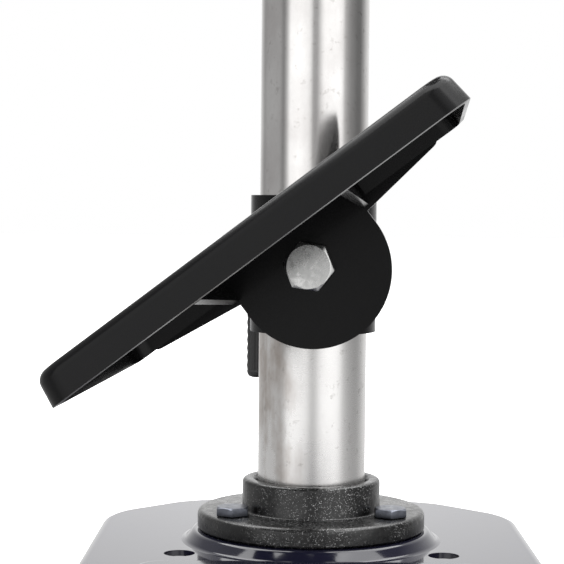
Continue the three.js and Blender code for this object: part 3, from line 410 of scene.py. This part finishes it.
def turnedPiece(name, profile, centre=(0, 0, 0), sides=64, hollow=False):
    # drawn up ring by ring from (radius, height) points in millimetres; a hollow one ends on its first ring
    first = profile[0]
    fill = "NOTHING" if hollow else "NGON"
    start = (0, 0, first[1] * mm)
    bpy.ops.mesh.primitive_circle_add(vertices=sides, radius=first[0] * mm, location=start, fill_type=fill)
    piece = bpy.context.object
    piece.name = name
    bpy.ops.object.mode_set(mode="EDIT")
    bpy.ops.mesh.select_all(action="SELECT")
    bpy.ops.mesh.select_mode(type="EDGE")
    radius, height = first
    for nextRadius, nextHeight in profile[1:]:
        lift = (0, 0, (nextHeight - height) * mm)
        bpy.ops.mesh.extrude_edges_move(TRANSFORM_OT_translate={"value": lift})
        scale = nextRadius / radius
        bpy.ops.transform.resize(value=(scale, scale, 1), center_override=(0, 0, nextHeight * mm))
        radius, height = nextRadius, nextHeight
    if not hollow:
        bpy.ops.mesh.edge_face_add()
    bpy.ops.mesh.select_all(action="SELECT")
    bpy.ops.mesh.remove_doubles(threshold=1e-6)
    bpy.ops.mesh.normals_make_consistent(inside=False)
    bpy.ops.object.mode_set(mode="OBJECT")
    piece.location += Vector(centre)
    return settle(piece)


def block(name, low, high):  # a box between two corners, in millimetres
    middle = [(a + b) / 2 * mm for a, b in zip(low, high)]
    bpy.ops.mesh.primitive_cube_add(size=1, location=middle)
    piece = bpy.context.object
    piece.name = name
    piece.scale = [(b - a) * mm for a, b in zip(low, high)]
    return settle(piece)


def pickEdges(piece, test):  # selects in edit mode the edges whose two ends pass the test
    only(piece)
    bpy.ops.object.mode_set(mode="EDIT")
    bpy.ops.mesh.select_mode(type="EDGE")
    bpy.ops.mesh.select_all(action="DESELECT")
    bpy.ops.object.mode_set(mode="OBJECT")
    for edge in piece.data.edges:
        a, b = (piece.data.vertices[i].co for i in edge.vertices)
        edge.select = test(a, b)
    bpy.ops.object.mode_set(mode="EDIT")


def bevelEdges(piece, test, width, segments):
    pickEdges(piece, test)
    bpy.ops.mesh.bevel(offset=width * mm, segments=segments, profile=0.5, affect="EDGES", clamp_overlap=False)
    bpy.ops.object.mode_set(mode="OBJECT")
    return piece


def upright(a, b):
    return abs(a.x - b.x) < 1e-5 and abs(a.y - b.y) < 1e-5


def dress(piece, finish, body, nodes):
    piece.data.materials.clear()
    piece.data.materials.append(finishes[finish])
    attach(piece, body)
    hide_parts(*nodes)
    return piece


def refined(node, finish, edge, angle=35):
    # a copy of the CAD node, merged, with its true edges softened and its round faces smoothed
    source = frame["nodes"][node]
    piece = source.copy()
    piece.data = source.data.copy()
    piece.parent = None
    for key in list(piece.keys()):
        del piece[key]
    piece.name = node + "Fine"
    scene.collection.objects.link(piece)
    only(piece)
    bpy.ops.object.mode_set(mode="EDIT")
    bpy.ops.mesh.select_all(action="SELECT")
    bpy.ops.mesh.remove_doubles(threshold=2e-6)
    bpy.ops.mesh.dissolve_limited(angle_limit=rad(1))
    bpy.ops.object.mode_set(mode="OBJECT")
    rounded(piece, edge * mm, 2, angle)
    smooth(piece, angle)
    return dress(piece, finish, source["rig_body"], [node])


# the floor and the light
def makeStage():
    bpy.ops.mesh.primitive_plane_add(size=14, location=(0, 0, 0))
    floor = bpy.context.object
    floor.name = "floor"
    floor.visible_glossy = False
    f = Finish("paleFloor", {"Roughness": 0.9, "Base Color": grey(0.85), "Emission Strength": 0.5})
    seen = f.node("ShaderNodeLightPath")
    f.set("Emission Color", f.mix(seen, grey(0), grey(1)))
    floor.data.materials.append(f.material)


lightSet = {"top": 110, "room": 1.5}


def softLight(name, power, size, place, aim):
    bpy.ops.object.light_add(type="AREA", location=place)
    lamp = bpy.context.object
    lamp.name = name
    lamp.data.energy = power
    lamp.data.size = size
    lamp.rotation_euler = (Vector(aim) - Vector(place)).to_track_quat("-Z", "Y").to_euler()


def makeLight():
    softLight("topLight", lightSet["top"], 3.0, (0, 0.1, 1.9), (0, 0, 0))
    # the room: bright and dark bands all round, which the column mirrors
    world = bpy.data.worlds.new("studio")
    scene.world = world
    world.use_nodes = True
    tree = world.node_tree
    tree.nodes.clear()
    way = tree.nodes.new("ShaderNodeTexCoord")
    split = tree.nodes.new("ShaderNodeSeparateXYZ")
    tree.links.new(way.outputs["Generated"], split.inputs[0])
    turn = tree.nodes.new("ShaderNodeMath")
    turn.operation = "ARCTAN2"
    tree.links.new(split.outputs[0], turn.inputs[0])
    tree.links.new(split.outputs[1], turn.inputs[1])
    share = tree.nodes.new("ShaderNodeMapRange")
    tree.links.new(turn.outputs[0], share.inputs[0])
    share.inputs[1].default_value = -math.pi
    share.inputs[2].default_value = math.pi
    walls = tree.nodes.new("ShaderNodeValToRGB")
    while len(walls.color_ramp.elements) < len(roomWalls):
        walls.color_ramp.elements.new(0.5)
    for element, (degrees, value) in zip(walls.color_ramp.elements, roomWalls):
        element.position = (degrees + 180) / 360
        element.color = grey(value)
    tree.links.new(share.outputs[0], walls.inputs[0])
    down = tree.nodes.new("ShaderNodeMapRange")  # below the horizon the bands fade into the pale floor
    tree.links.new(split.outputs[2], down.inputs[0])
    down.inputs[1].default_value = -0.01
    down.inputs[2].default_value = -0.12
    down.inputs[4].default_value = 0.45
    fade = tree.nodes.new("ShaderNodeMix")
    fade.data_type = "RGBA"
    tree.links.new(down.outputs[0], fade.inputs[0])
    tree.links.new(walls.outputs[0], fade.inputs[6])
    fade.inputs[7].default_value = grey(0.5)
    room = tree.nodes.new("ShaderNodeBackground")
    tree.links.new(fade.outputs[2], room.inputs[0])
    room.inputs[1].default_value = lightSet["room"]
    plain = tree.nodes.new("ShaderNodeBackground")
    plain.inputs[0].default_value = grey(1)
    seen = tree.nodes.new("ShaderNodeLightPath")
    pick = tree.nodes.new("ShaderNodeMixShader")
    out = tree.nodes.new("ShaderNodeOutputWorld")
    tree.links.new(seen.outputs["Is Camera Ray"], pick.inputs[0])
    tree.links.new(room.outputs[0], pick.inputs[1])
    tree.links.new(plain.outputs[0], pick.inputs[2])
    tree.links.new(pick.outputs[0], out.inputs[0])
    scene.view_settings.view_transform = "Standard"


# brightness of the room by compass angle from straight ahead of the user, clockwise from above
roomWalls = [
    (-180, 0.33), (-176, 0.33), (-171, 0.73), (-165, 0.9), (-145, 1.0), (-126, 0.93), (-118, 0.4),
    (-110, 0.17), (-100, 0.3), (-60, 0.3), (-46, 0.25), (-24, 0.5), (0, 0.87), (10, 0.73), (40, 0.53),
    (56, 0.29), (68, 0.13), (80, 0.127), (98, 0.21), (106, 0.29), (114, 0.43), (121, 0.9), (130, 1.0),
    (160, 1.0), (165, 0.87), (169, 0.67), (176, 0.33), (180, 0.33),
]
makeStage()
makeLight()
print("stage and light made")


# column
columnSet = {"wall": 3, "lowEdge": 0.6, "highEdge": 1, "sides": 128}


def makeColumn():
    s = columnSet
    low, high = columnLow.z / mm, columnHigh.z / mm
    radius = (columnHigh.x - columnLow.x) / 2 / mm
    bore = radius - s["wall"]
    profile = [
        (bore, low), (radius - s["lowEdge"], low), (radius, low + s["lowEdge"]),
        (radius, high - s["highEdge"]), (radius - s["highEdge"], high), (bore, high), (bore, low),
    ]
    piece = turnedPiece("columnTube", profile, (axisX, axisY, 0), s["sides"], hollow=True)
    dress(smooth(piece, 30), "columnSteel", "frame", ["column"])


# flange
flangeSet = {
    "radius": 48.7, "thickness": 8, "hub": 29.5, "height": 21.3, "bore": 23.5,
    "rim": 2.2, "fillet": 0.8, "crown": 1.6,
}


def quarter(reach, height, size, step):  # a rounded outer edge, from its side up and in to its top
    turns = map(rad, range(0, 91, step))
    return [(reach - size * (1 - math.cos(a)), height - size * (1 - math.sin(a))) for a in turns]


def makeFlange():
    s = flangeSet
    low = flangeLow.z / mm
    top = low + s["height"]
    step = low + s["thickness"]
    r, h, b = s["radius"], s["hub"], s["bore"]
    rim = quarter(r, step, s["rim"], 18)
    turns = map(rad, range(0, 91, 30))
    fillet = [(h + s["fillet"] * (1 - math.sin(a)), step + s["fillet"] * (1 - math.cos(a))) for a in turns]
    crown = quarter(h, top, s["crown"], 22)
    lip = [(b + s["crown"], top), (b + 1.2, top - 0.3), (b, top - 2.2)]
    profile = [(b, low), (r - 0.8, low), (r, low + 0.8), *rim, *fillet, *crown, *lip, (b, low)]
    piece = turnedPiece("flangeCasting", profile, (axisX, axisY, 0), 128, hollow=True)
    dress(smooth(piece, 40), "hammeredPaint", "frame", ["column_flange"])


# hexagon bolts
hexSet = {
    "edge": 0.25, "crownEdge": 0.12, "crownSlope": 30, "crownFlat": 0.3, "crownRise": 1.8,
    "reach": 3, "tip": 0.6,
}


def hexBolt(name, across, head, shank, length):
    # upright, the head's seat at height 0 and the shank going down
    s = hexSet
    corner = across / math.sqrt(3)
    middle = (0, 0, head / 2 * mm)
    bpy.ops.mesh.primitive_cylinder_add(vertices=6, radius=corner * mm, depth=head * mm, location=middle)
    body = settle(bpy.context.object)
    rounded(body, s["edge"] * mm, 3, 50)
    drop = (corner - across / 2) * math.tan(rad(s["crownSlope"])) * 1.6 + s["crownRise"]
    outer = corner + s["reach"]
    crown = [(outer, -1), (outer, head - drop), (across / 2 - s["crownFlat"], head)]
    cone = turnedPiece("cone", crown, (0, 0, 0), 96)
    combine(body, [cone], "INTERSECT")
    rounded(body, s["crownEdge"] * mm, 2, 25)
    point = [(shank - s["tip"], -length), (shank, -length + 0.8), (shank, 0.2)]
    body = joined([body, turnedPiece("shank", point, (0, 0, 0), 32)])
    body.name = name
    return smooth(body, 30)


flangeBoltSet = {"across": 13, "head": 3.6, "shank": 4}


def makeFlangeBolts():
    s = flangeBoltSet
    for place in ("front_left", "front_right", "rear"):
        low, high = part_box("flange_bolt_" + place)
        x, y = (low.x + high.x) / 2, (low.y + high.y) / 2
        seat = high.z - s["head"] * mm
        bolt = hexBolt("flangeBolt_" + place, s["across"], s["head"], s["shank"], (seat - low.z) / mm)
        settle(bolt, Matrix.Translation((x, y, seat)))
        dress(bolt, "darkSteel", "frame", ["flange_bolt_" + place])


# base plate
baseSet = {
    "wall": 2.5, "draft": 4, "chamfer": 39, "corner": 14, "edge": 4, "top": 20, "boss": 4.7, "bossTop": 50,
    "bossFoot": 53.5, "boltHole": 4.3, "boltCircle": 38.2, "through": 40,
}
padSet = {
    "half": 70, "rear": -56, "front": -184, "height": 2, "foot": 2, "corner": 12, "shrink": 0.955,
    "edge": 1.2, "slotX": 38, "slotWide": 13, "slotLong": 84,
}
benchSet = {"radius": 6.4, "x": 54.3, "y": -34.7}


def slotCutter(x, y, wide, long, low, high, angle=0):
    half = long / 2 - wide / 2
    middle = block("slot", (-wide / 2, -half, low), (wide / 2, half, high))
    end = [(wide / 2, low), (wide / 2, high)]
    ends = [turnedPiece("slotEnd", end, (0, side * half * mm, 0), 32) for side in (-1, 1)]
    combine(middle, ends, "UNION")
    return settle(middle, Matrix.Translation((x * mm, y * mm, 0)) @ Matrix.Rotation(rad(angle), 4, "Z"))


def makeBaseShell():  # the pressing without its boss and pad
    s = baseSet
    low = [(baseLow.x - axisX) / mm, (baseLow.y - axisY) / mm]
    high = [(baseHigh.x - axisX) / mm, (baseHigh.y - axisY) / mm]
    shell = block("basePressing", (*low, 0), (*high, s["top"]))
    bevelEdges(shell, lambda a, b: upright(a, b) and a.y > 0, s["chamfer"], 1)
    bevelEdges(shell, upright, s["corner"], 10)
    # the draft: the top outline drawn in by the same amount all round
    middle = [(a + b) / 2 for a, b in zip(low, high)]
    shrink = [1 - 2 * s["draft"] / (b - a) for a, b in zip(low, high)]
    drawIn(shell, lambda v: v.z > 1 * mm, shrink, (*middle, s["top"]))
    bevelEdges(shell, lambda a, b: min(a.z, b.z) > (s["top"] - 1) * mm, s["edge"], 5)
    hollowBelow(shell, s["wall"])
    for v in shell.data.vertices:
        v.co.z = max(v.co.z, 0)
    return shell


def makeBoss():  # the round rise that the flange stands on
    s = baseSet
    top, foot, edge, crown = s["top"], s["bossFoot"], s["bossTop"], s["top"] + s["boss"]
    return turnedPiece("boss", [
        (foot + 2.5, top - 0.6), (foot + 2.2, top), (foot + 1.0, top + 0.25), (foot, top + 0.9),
        (edge + 1.3, crown - 1.1), (edge + 0.5, crown - 0.35), (edge - 0.6, crown),
    ], (0, 0, 0), 128)


def makePad(middleY):  # the raised work face in front
    p, top = padSet, baseSet["top"]
    half, foot = p["half"] + p["foot"], p["foot"]
    pad = block("pad", (-half, p["front"] - foot, top - 0.6), (half, p["rear"] + foot, top + p["height"]))
    bevelEdges(pad, upright, p["corner"], 8)
    drawIn(pad, lambda v: v.z > top * mm, (p["shrink"], p["shrink"]), (0, middleY, top))
    return bevelEdges(pad, lambda a, b: min(a.z, b.z) > (top + 1) * mm, p["edge"], 3)


def makeBase():
    s, p = baseSet, padSet
    middleY = (p["front"] + p["rear"]) / 2
    shell = makeBaseShell()
    combine(shell, [makeBoss(), makePad(middleY)], "UNION")
    foot, top, through = s["bossFoot"] - 3, s["top"], s["through"]
    under = [(foot, top - 4), (foot, top - 1.8), (s["bossTop"] - 2.5, top + s["boss"] - 2.5)]
    cutters = [turnedPiece("hollow", under, (0, 0, 0), 96)]
    hole = [(benchSet["radius"], 0), (benchSet["radius"], through)]
    for side in (-1, 1):
        place = (side * benchSet["x"] * mm, benchSet["y"] * mm, 0)
        cutters.append(turnedPiece("hole", hole, place, 48))
    for side in (-1, 1):
        cutters.append(slotCutter(side * p["slotX"], middleY, p["slotWide"], p["slotLong"], 0, through))
    for angle in (210, 330, 90):
        x, y = s["boltCircle"] * mm * math.cos(rad(angle)), s["boltCircle"] * mm * math.sin(rad(angle))
        cutters.append(turnedPiece("boltHole", [(s["boltHole"], 0), (s["boltHole"], through)], (x, y, 0), 24))
    combine(shell, cutters)
    rounded(shell, 0.35 * mm, 2, 40)
    settle(shell, Matrix.Translation((axisX, axisY, 0)))
    shell.name = "basePressing"
    dress(evened(shell), "navyGloss", "frame", ["base_plate"])


# table
quillY = (quillPoint.y - axisY) / mm
tableSet = {
    "wide": 163.2, "shift": 1.55, "deep": 160, "rear": -48, "bottom": 10, "skirt": 11.5, "wall": 2.3,
    "inset": 1.3, "corner": 10, "edge": 3.6, "hole": 10, "slotWide": 9, "slotLong": 46, "slotMiddle": 48,
    "notch": 35, "notchDeep": 5.6, "through": 40,
}


def makeTable():
    s = tableSet
    top = s["bottom"] + s["skirt"]
    half = s["wide"] / 2
    front = s["rear"] - s["deep"]
    pan = block("tablePressing", (s["shift"] - half, front, s["bottom"]), (s["shift"] + half, s["rear"], top))
    bevelEdges(pan, upright, s["corner"], 10)
    shrink = (half - s["inset"]) / half
    drawIn(pan, lambda v: v.z > (top - 1) * mm, (shrink, shrink), (s["shift"], (s["rear"] + front) / 2, top))
    bevelEdges(pan, lambda a, b: min(a.z, b.z) > (top - 1) * mm, s["edge"], 6)
    hollowBelow(pan, s["wall"])
    behind = (s["notch"], s["rear"] + 1, top - s["wall"])
    cutters = [block("notch", (-s["notch"], s["rear"] - s["notchDeep"], 0), behind)]
    centre = (-pivotX, quillY * mm, 0)
    cutters.append(turnedPiece("hole", [(s["hole"], 0), (s["hole"], s["through"])], centre, 64))
    for angle in (45, 135, 225, 315):
        x = -pivotX / mm + s["slotMiddle"] * math.cos(rad(angle))
        y = quillY + s["slotMiddle"] * math.sin(rad(angle))
        cutters.append(slotCutter(x, y, s["slotWide"], s["slotLong"], 0, s["through"], angle - 90))
    combine(pan, cutters)
    rounded(pan, 0.3 * mm, 2, 40)
    settle(pan, tablePlace)
    dress(evened(pan), "blackGloss", "table", ["table_top"])


bracketSet = {
    "thick": 3, "tongue": 31.7, "drop": 2, "shoulder": 3.9, "wing": 72, "wingBottom": 9.4, "wingDraw": 2,
    "top": 18.9, "gusset": 90, "gussetRear": 5.5, "gussetFront": 12.4, "corner": 4, "gap": 0.3, "bolt": 6.3,
}


def makeWing(side, front, back):
    s = bracketSet
    ends = sorted((side * (s["tongue"] - 1), side * s["wing"]))
    wing = block("wing", (ends[0], front, s["shoulder"]), (ends[1], back, s["top"]))
    for v in wing.data.vertices:
        if abs(v.co.x) > 40 * mm and v.co.z < 5 * mm:  # the lower edge climbs to the wing's end
            v.co.z = s["wingBottom"] * mm
        if abs(v.co.x) > 40 * mm and v.co.z > 15 * mm:
            v.co.x -= side * s["wingDraw"] * mm

    def lowCorner(a, b):
        return min(abs(a.x), abs(b.x)) > 60 * mm and max(a.z, b.z) < 12 * mm and abs(a.y - b.y) > mm

    return bevelEdges(wing, lowCorner, s["corner"], 5)


def makeGusset(side, front):
    s = bracketSet
    x, half = side * (s["tongue"] + 0.5), s["thick"] / 2
    farEnd = (front - 50) * mm
    low, high = (x - half, front - s["gusset"], s["gussetRear"]), (x + half, front + 0.5, s["top"])
    gusset = block("gusset", low, high)
    for v in gusset.data.vertices:
        if v.co.z < 7 * mm and v.co.y < farEnd:
            v.co.z = s["gussetFront"] * mm

    def lowCorner(a, b):
        return max(a.y, b.y) < farEnd and max(a.z, b.z) < 14 * mm and abs(a.x - b.x) > mm

    return bevelEdges(gusset, lowCorner, s["corner"], 4)


def makeBracket():
    s = bracketSet
    back = tableSet["rear"] + s["gap"] + s["thick"]
    front = back - s["thick"]
    w = s["tongue"]
    plate = settle(rod(w, s["thick"], (0, (front + back) / 2, -s["drop"]), 128, "Y"))
    plate.name = "tableBracketSheet"
    middle = block("middle", (-w, front, -s["drop"]), (w, back, s["top"]))
    combine(plate, [middle, *[makeWing(side, front, back) for side in (-1, 1)]], "UNION")
    combine(plate, [makeGusset(side, front) for side in (-1, 1)], "UNION")
    combine(plate, [rod(s["bolt"], 30, (0, front, 0), 48, "Y")])
    rounded(plate, 0.45 * mm, 2, 40)
    settle(plate, tablePlace)
    dress(evened(plate), "blackGloss", "table", ["table_bracket"])


tiltBoltSet = {"across": 18, "head": 7.5, "shank": 6, "length": 17, "turn": 22}


def makeTiltBolt():
    s = tiltBoltSet
    bolt = hexBolt("tiltBoltHex", s["across"], s["head"], s["shank"], s["length"])
    seat = Matrix.Translation((pivotX, tableSet["rear"] * mm, tiltPoint.z))
    lay = seat @ Matrix.Rotation(math.pi / 2, 4, "X") @ Matrix.Rotation(rad(s["turn"]), 4, "Z")
    settle(bolt, swungPlace @ lay)
    dress(bolt, "zincPlate", "collar", ["tilt_bolt"])


# collar and lock lever
collarSet = {
    "bore": 23.5, "wall": 3.3, "bottom": 84.6, "height": 57.8, "channel": 17, "inset": 6, "plate": 3.5,
    "bend": 3.2, "ear": 3.6, "earRear": 46, "earHigh": 30, "earCorner": 5, "split": 2.5, "screw": 4.3,
    "screwY": 38, "bolt": 6.3,
}


def makeCollar():
    s = collarSet
    z0 = flangeLow.z / mm + s["bottom"]
    z1 = z0 + s["height"]
    mid = tiltPoint.z / mm
    outer = s["bore"] + s["wall"]
    front = tableSet["rear"] + 2 * bracketSet["gap"] + bracketSet["thick"]
    w, t, cut = s["channel"], s["plate"], s["split"]
    ring = turnedPiece("collarSheet", [(outer, z0), (outer, z1)], (0, 0, 0), 128)
    channel = block("channel", (-w, front, z0 + s["inset"]), (w, -14, z1 - s["inset"]))
    bevelEdges(channel, lambda a, b: upright(a, b) and a.y < -20 * mm, s["bend"], 5)
    combine(channel, [block("hollow", (t - w, front + t, z0 - 1), (w - t, 0, z1 + 1))])
    low, high = mid - s["earHigh"] / 2, mid + s["earHigh"] / 2
    ears = block("ears", (-cut - s["ear"], outer - 2, low), (cut + s["ear"], s["earRear"], high))
    bevelEdges(ears, lambda a, b: min(a.y, b.y) > 40 * mm and abs(a.x - b.x) > mm, s["earCorner"], 5)
    combine(ring, [channel, ears], "UNION")
    bore = turnedPiece("bore", [(s["bore"], z0 - 2), (s["bore"], z1 + 2)], (0, 0, 0), 128)
    split = block("split", (-cut, 5, z0 - 1), (cut, 80, z1 + 1))
    screwHole = rod(s["screw"], 40, (0, s["screwY"], mid), 32, "X")
    boltHole = rod(s["bolt"], 30, (pivotX / mm, front - 5, mid), 32, "Y")
    combine(ring, [bore, split, screwHole, boltHole])
    rounded(ring, 0.4 * mm, 2, 40)
    settle(ring, swungPlace)
    dress(evened(ring), "blackGloss", "collar", ["table_collar"])


leverSet = {
    "x": -27, "y": 38, "grip": 5.6, "neck": 4.2, "reach": 53.7, "gripLong": 33, "hub": 7.5, "ribs": 40,
    "rows": 15, "ridge": 0.25, "flute": 0.045,
}


def makeLever():
    s = leverSet
    bottom = -s["reach"]
    top = bottom + s["gripLong"]
    grip, neck, rows = s["grip"], s["neck"], s["rows"]
    # the knurl: rings that stand out and draw in by turns
    profile = [
        (grip - 2.4, bottom), (grip - 1.2, bottom + 0.5), (grip - 0.5, bottom + 1.4),
        (grip - 0.2, bottom + 2.6),
    ]
    for row in range(rows):
        height = bottom + 3.4 + (s["gripLong"] - 6) * row / (rows - 1)
        profile.append((grip - 0.35 + s["ridge"] * (row % 2), height))
    profile += [
        (grip - 0.5, top - 1.4), (neck + 0.4, top + 0.4), (neck, top + 1.6), (neck - 0.6, -s["hub"] - 0.3),
    ]
    handle = turnedPiece("lockGrip", profile, (0, 0, 0), s["ribs"])
    for v in handle.data.vertices:  # upright flutes cross the rings
        angle = math.atan2(v.co.y, v.co.x)
        if bottom + 3 < v.co.z / mm < top - 2:
            flute = 1 - s["flute"] * (math.cos(angle * s["ribs"] / 2) < 0)
            v.co.x *= flute
            v.co.y *= flute
    settle(handle, swungPlace @ Matrix.Translation((s["x"] * mm, s["y"] * mm, tiltPoint.z)))
    dress(smooth(handle, 20), "gripPlastic", "lock_lever", ["lock_handle"])


makeColumn()
makeFlange()
makeFlangeBolts()
makeBase()
makeTable()
makeBracket()
makeTiltBolt()
makeCollar()
makeLever()
print("lower machine made")

# the rest, from the frame's own solids
refinedNodes = {
    "headPaint": ["head_casting", "spring_housing", "belt_pan", "belt_lid", "motor_plate"],
    "motorGrey": ["motor_body"],
    "groundSteel": [
        "quill", "feed_shaft", "spindle", "chuck_body", "chuck_sleeve", "lower_bearing", "upper_bearing",
        "pulley_bearing", "motor_shaft", "tension_rod_left", "tension_rod_right",
    ],
    "zincPlate": [
        "tilt_nut", "lock_nut", "flange_nut_front_left", "flange_nut_front_right", "flange_nut_rear",
        "feed_spoke_1", "feed_spoke_2", "feed_spoke_3", "depth_stop_ring", "lid_hinge_pin", "guard_bracket",
    ],
    "darkSteel": [
        "lock_screw", "depth_stop_screw", "head_set_screw", "chuck_jaw_1", "chuck_jaw_2", "chuck_jaw_3",
    ],
    "blackPlastic": [
        "feed_hub", "feed_knob_1", "feed_knob_2", "feed_knob_3", "lid_knob", "tension_lock_knob",
        "switch_box", "cable_gland",
    ],
    "pulleyAlloy": ["spindle_pulley", "motor_pulley"],
    "beltRubber": ["drive_belt"],
    "springSteel": ["return_spring"],
    "greenPlastic": ["start_button"],
    "redPlastic": ["stop_button"],
    "clearPlastic": ["chuck_guard"],
}
softEdge = 0.35  # in millimetres, on every piece that is taken over from the frame
for finish, nodes in refinedNodes.items():
    for node in nodes:
        refined(node, finish, softEdge)
print("upper machine made")
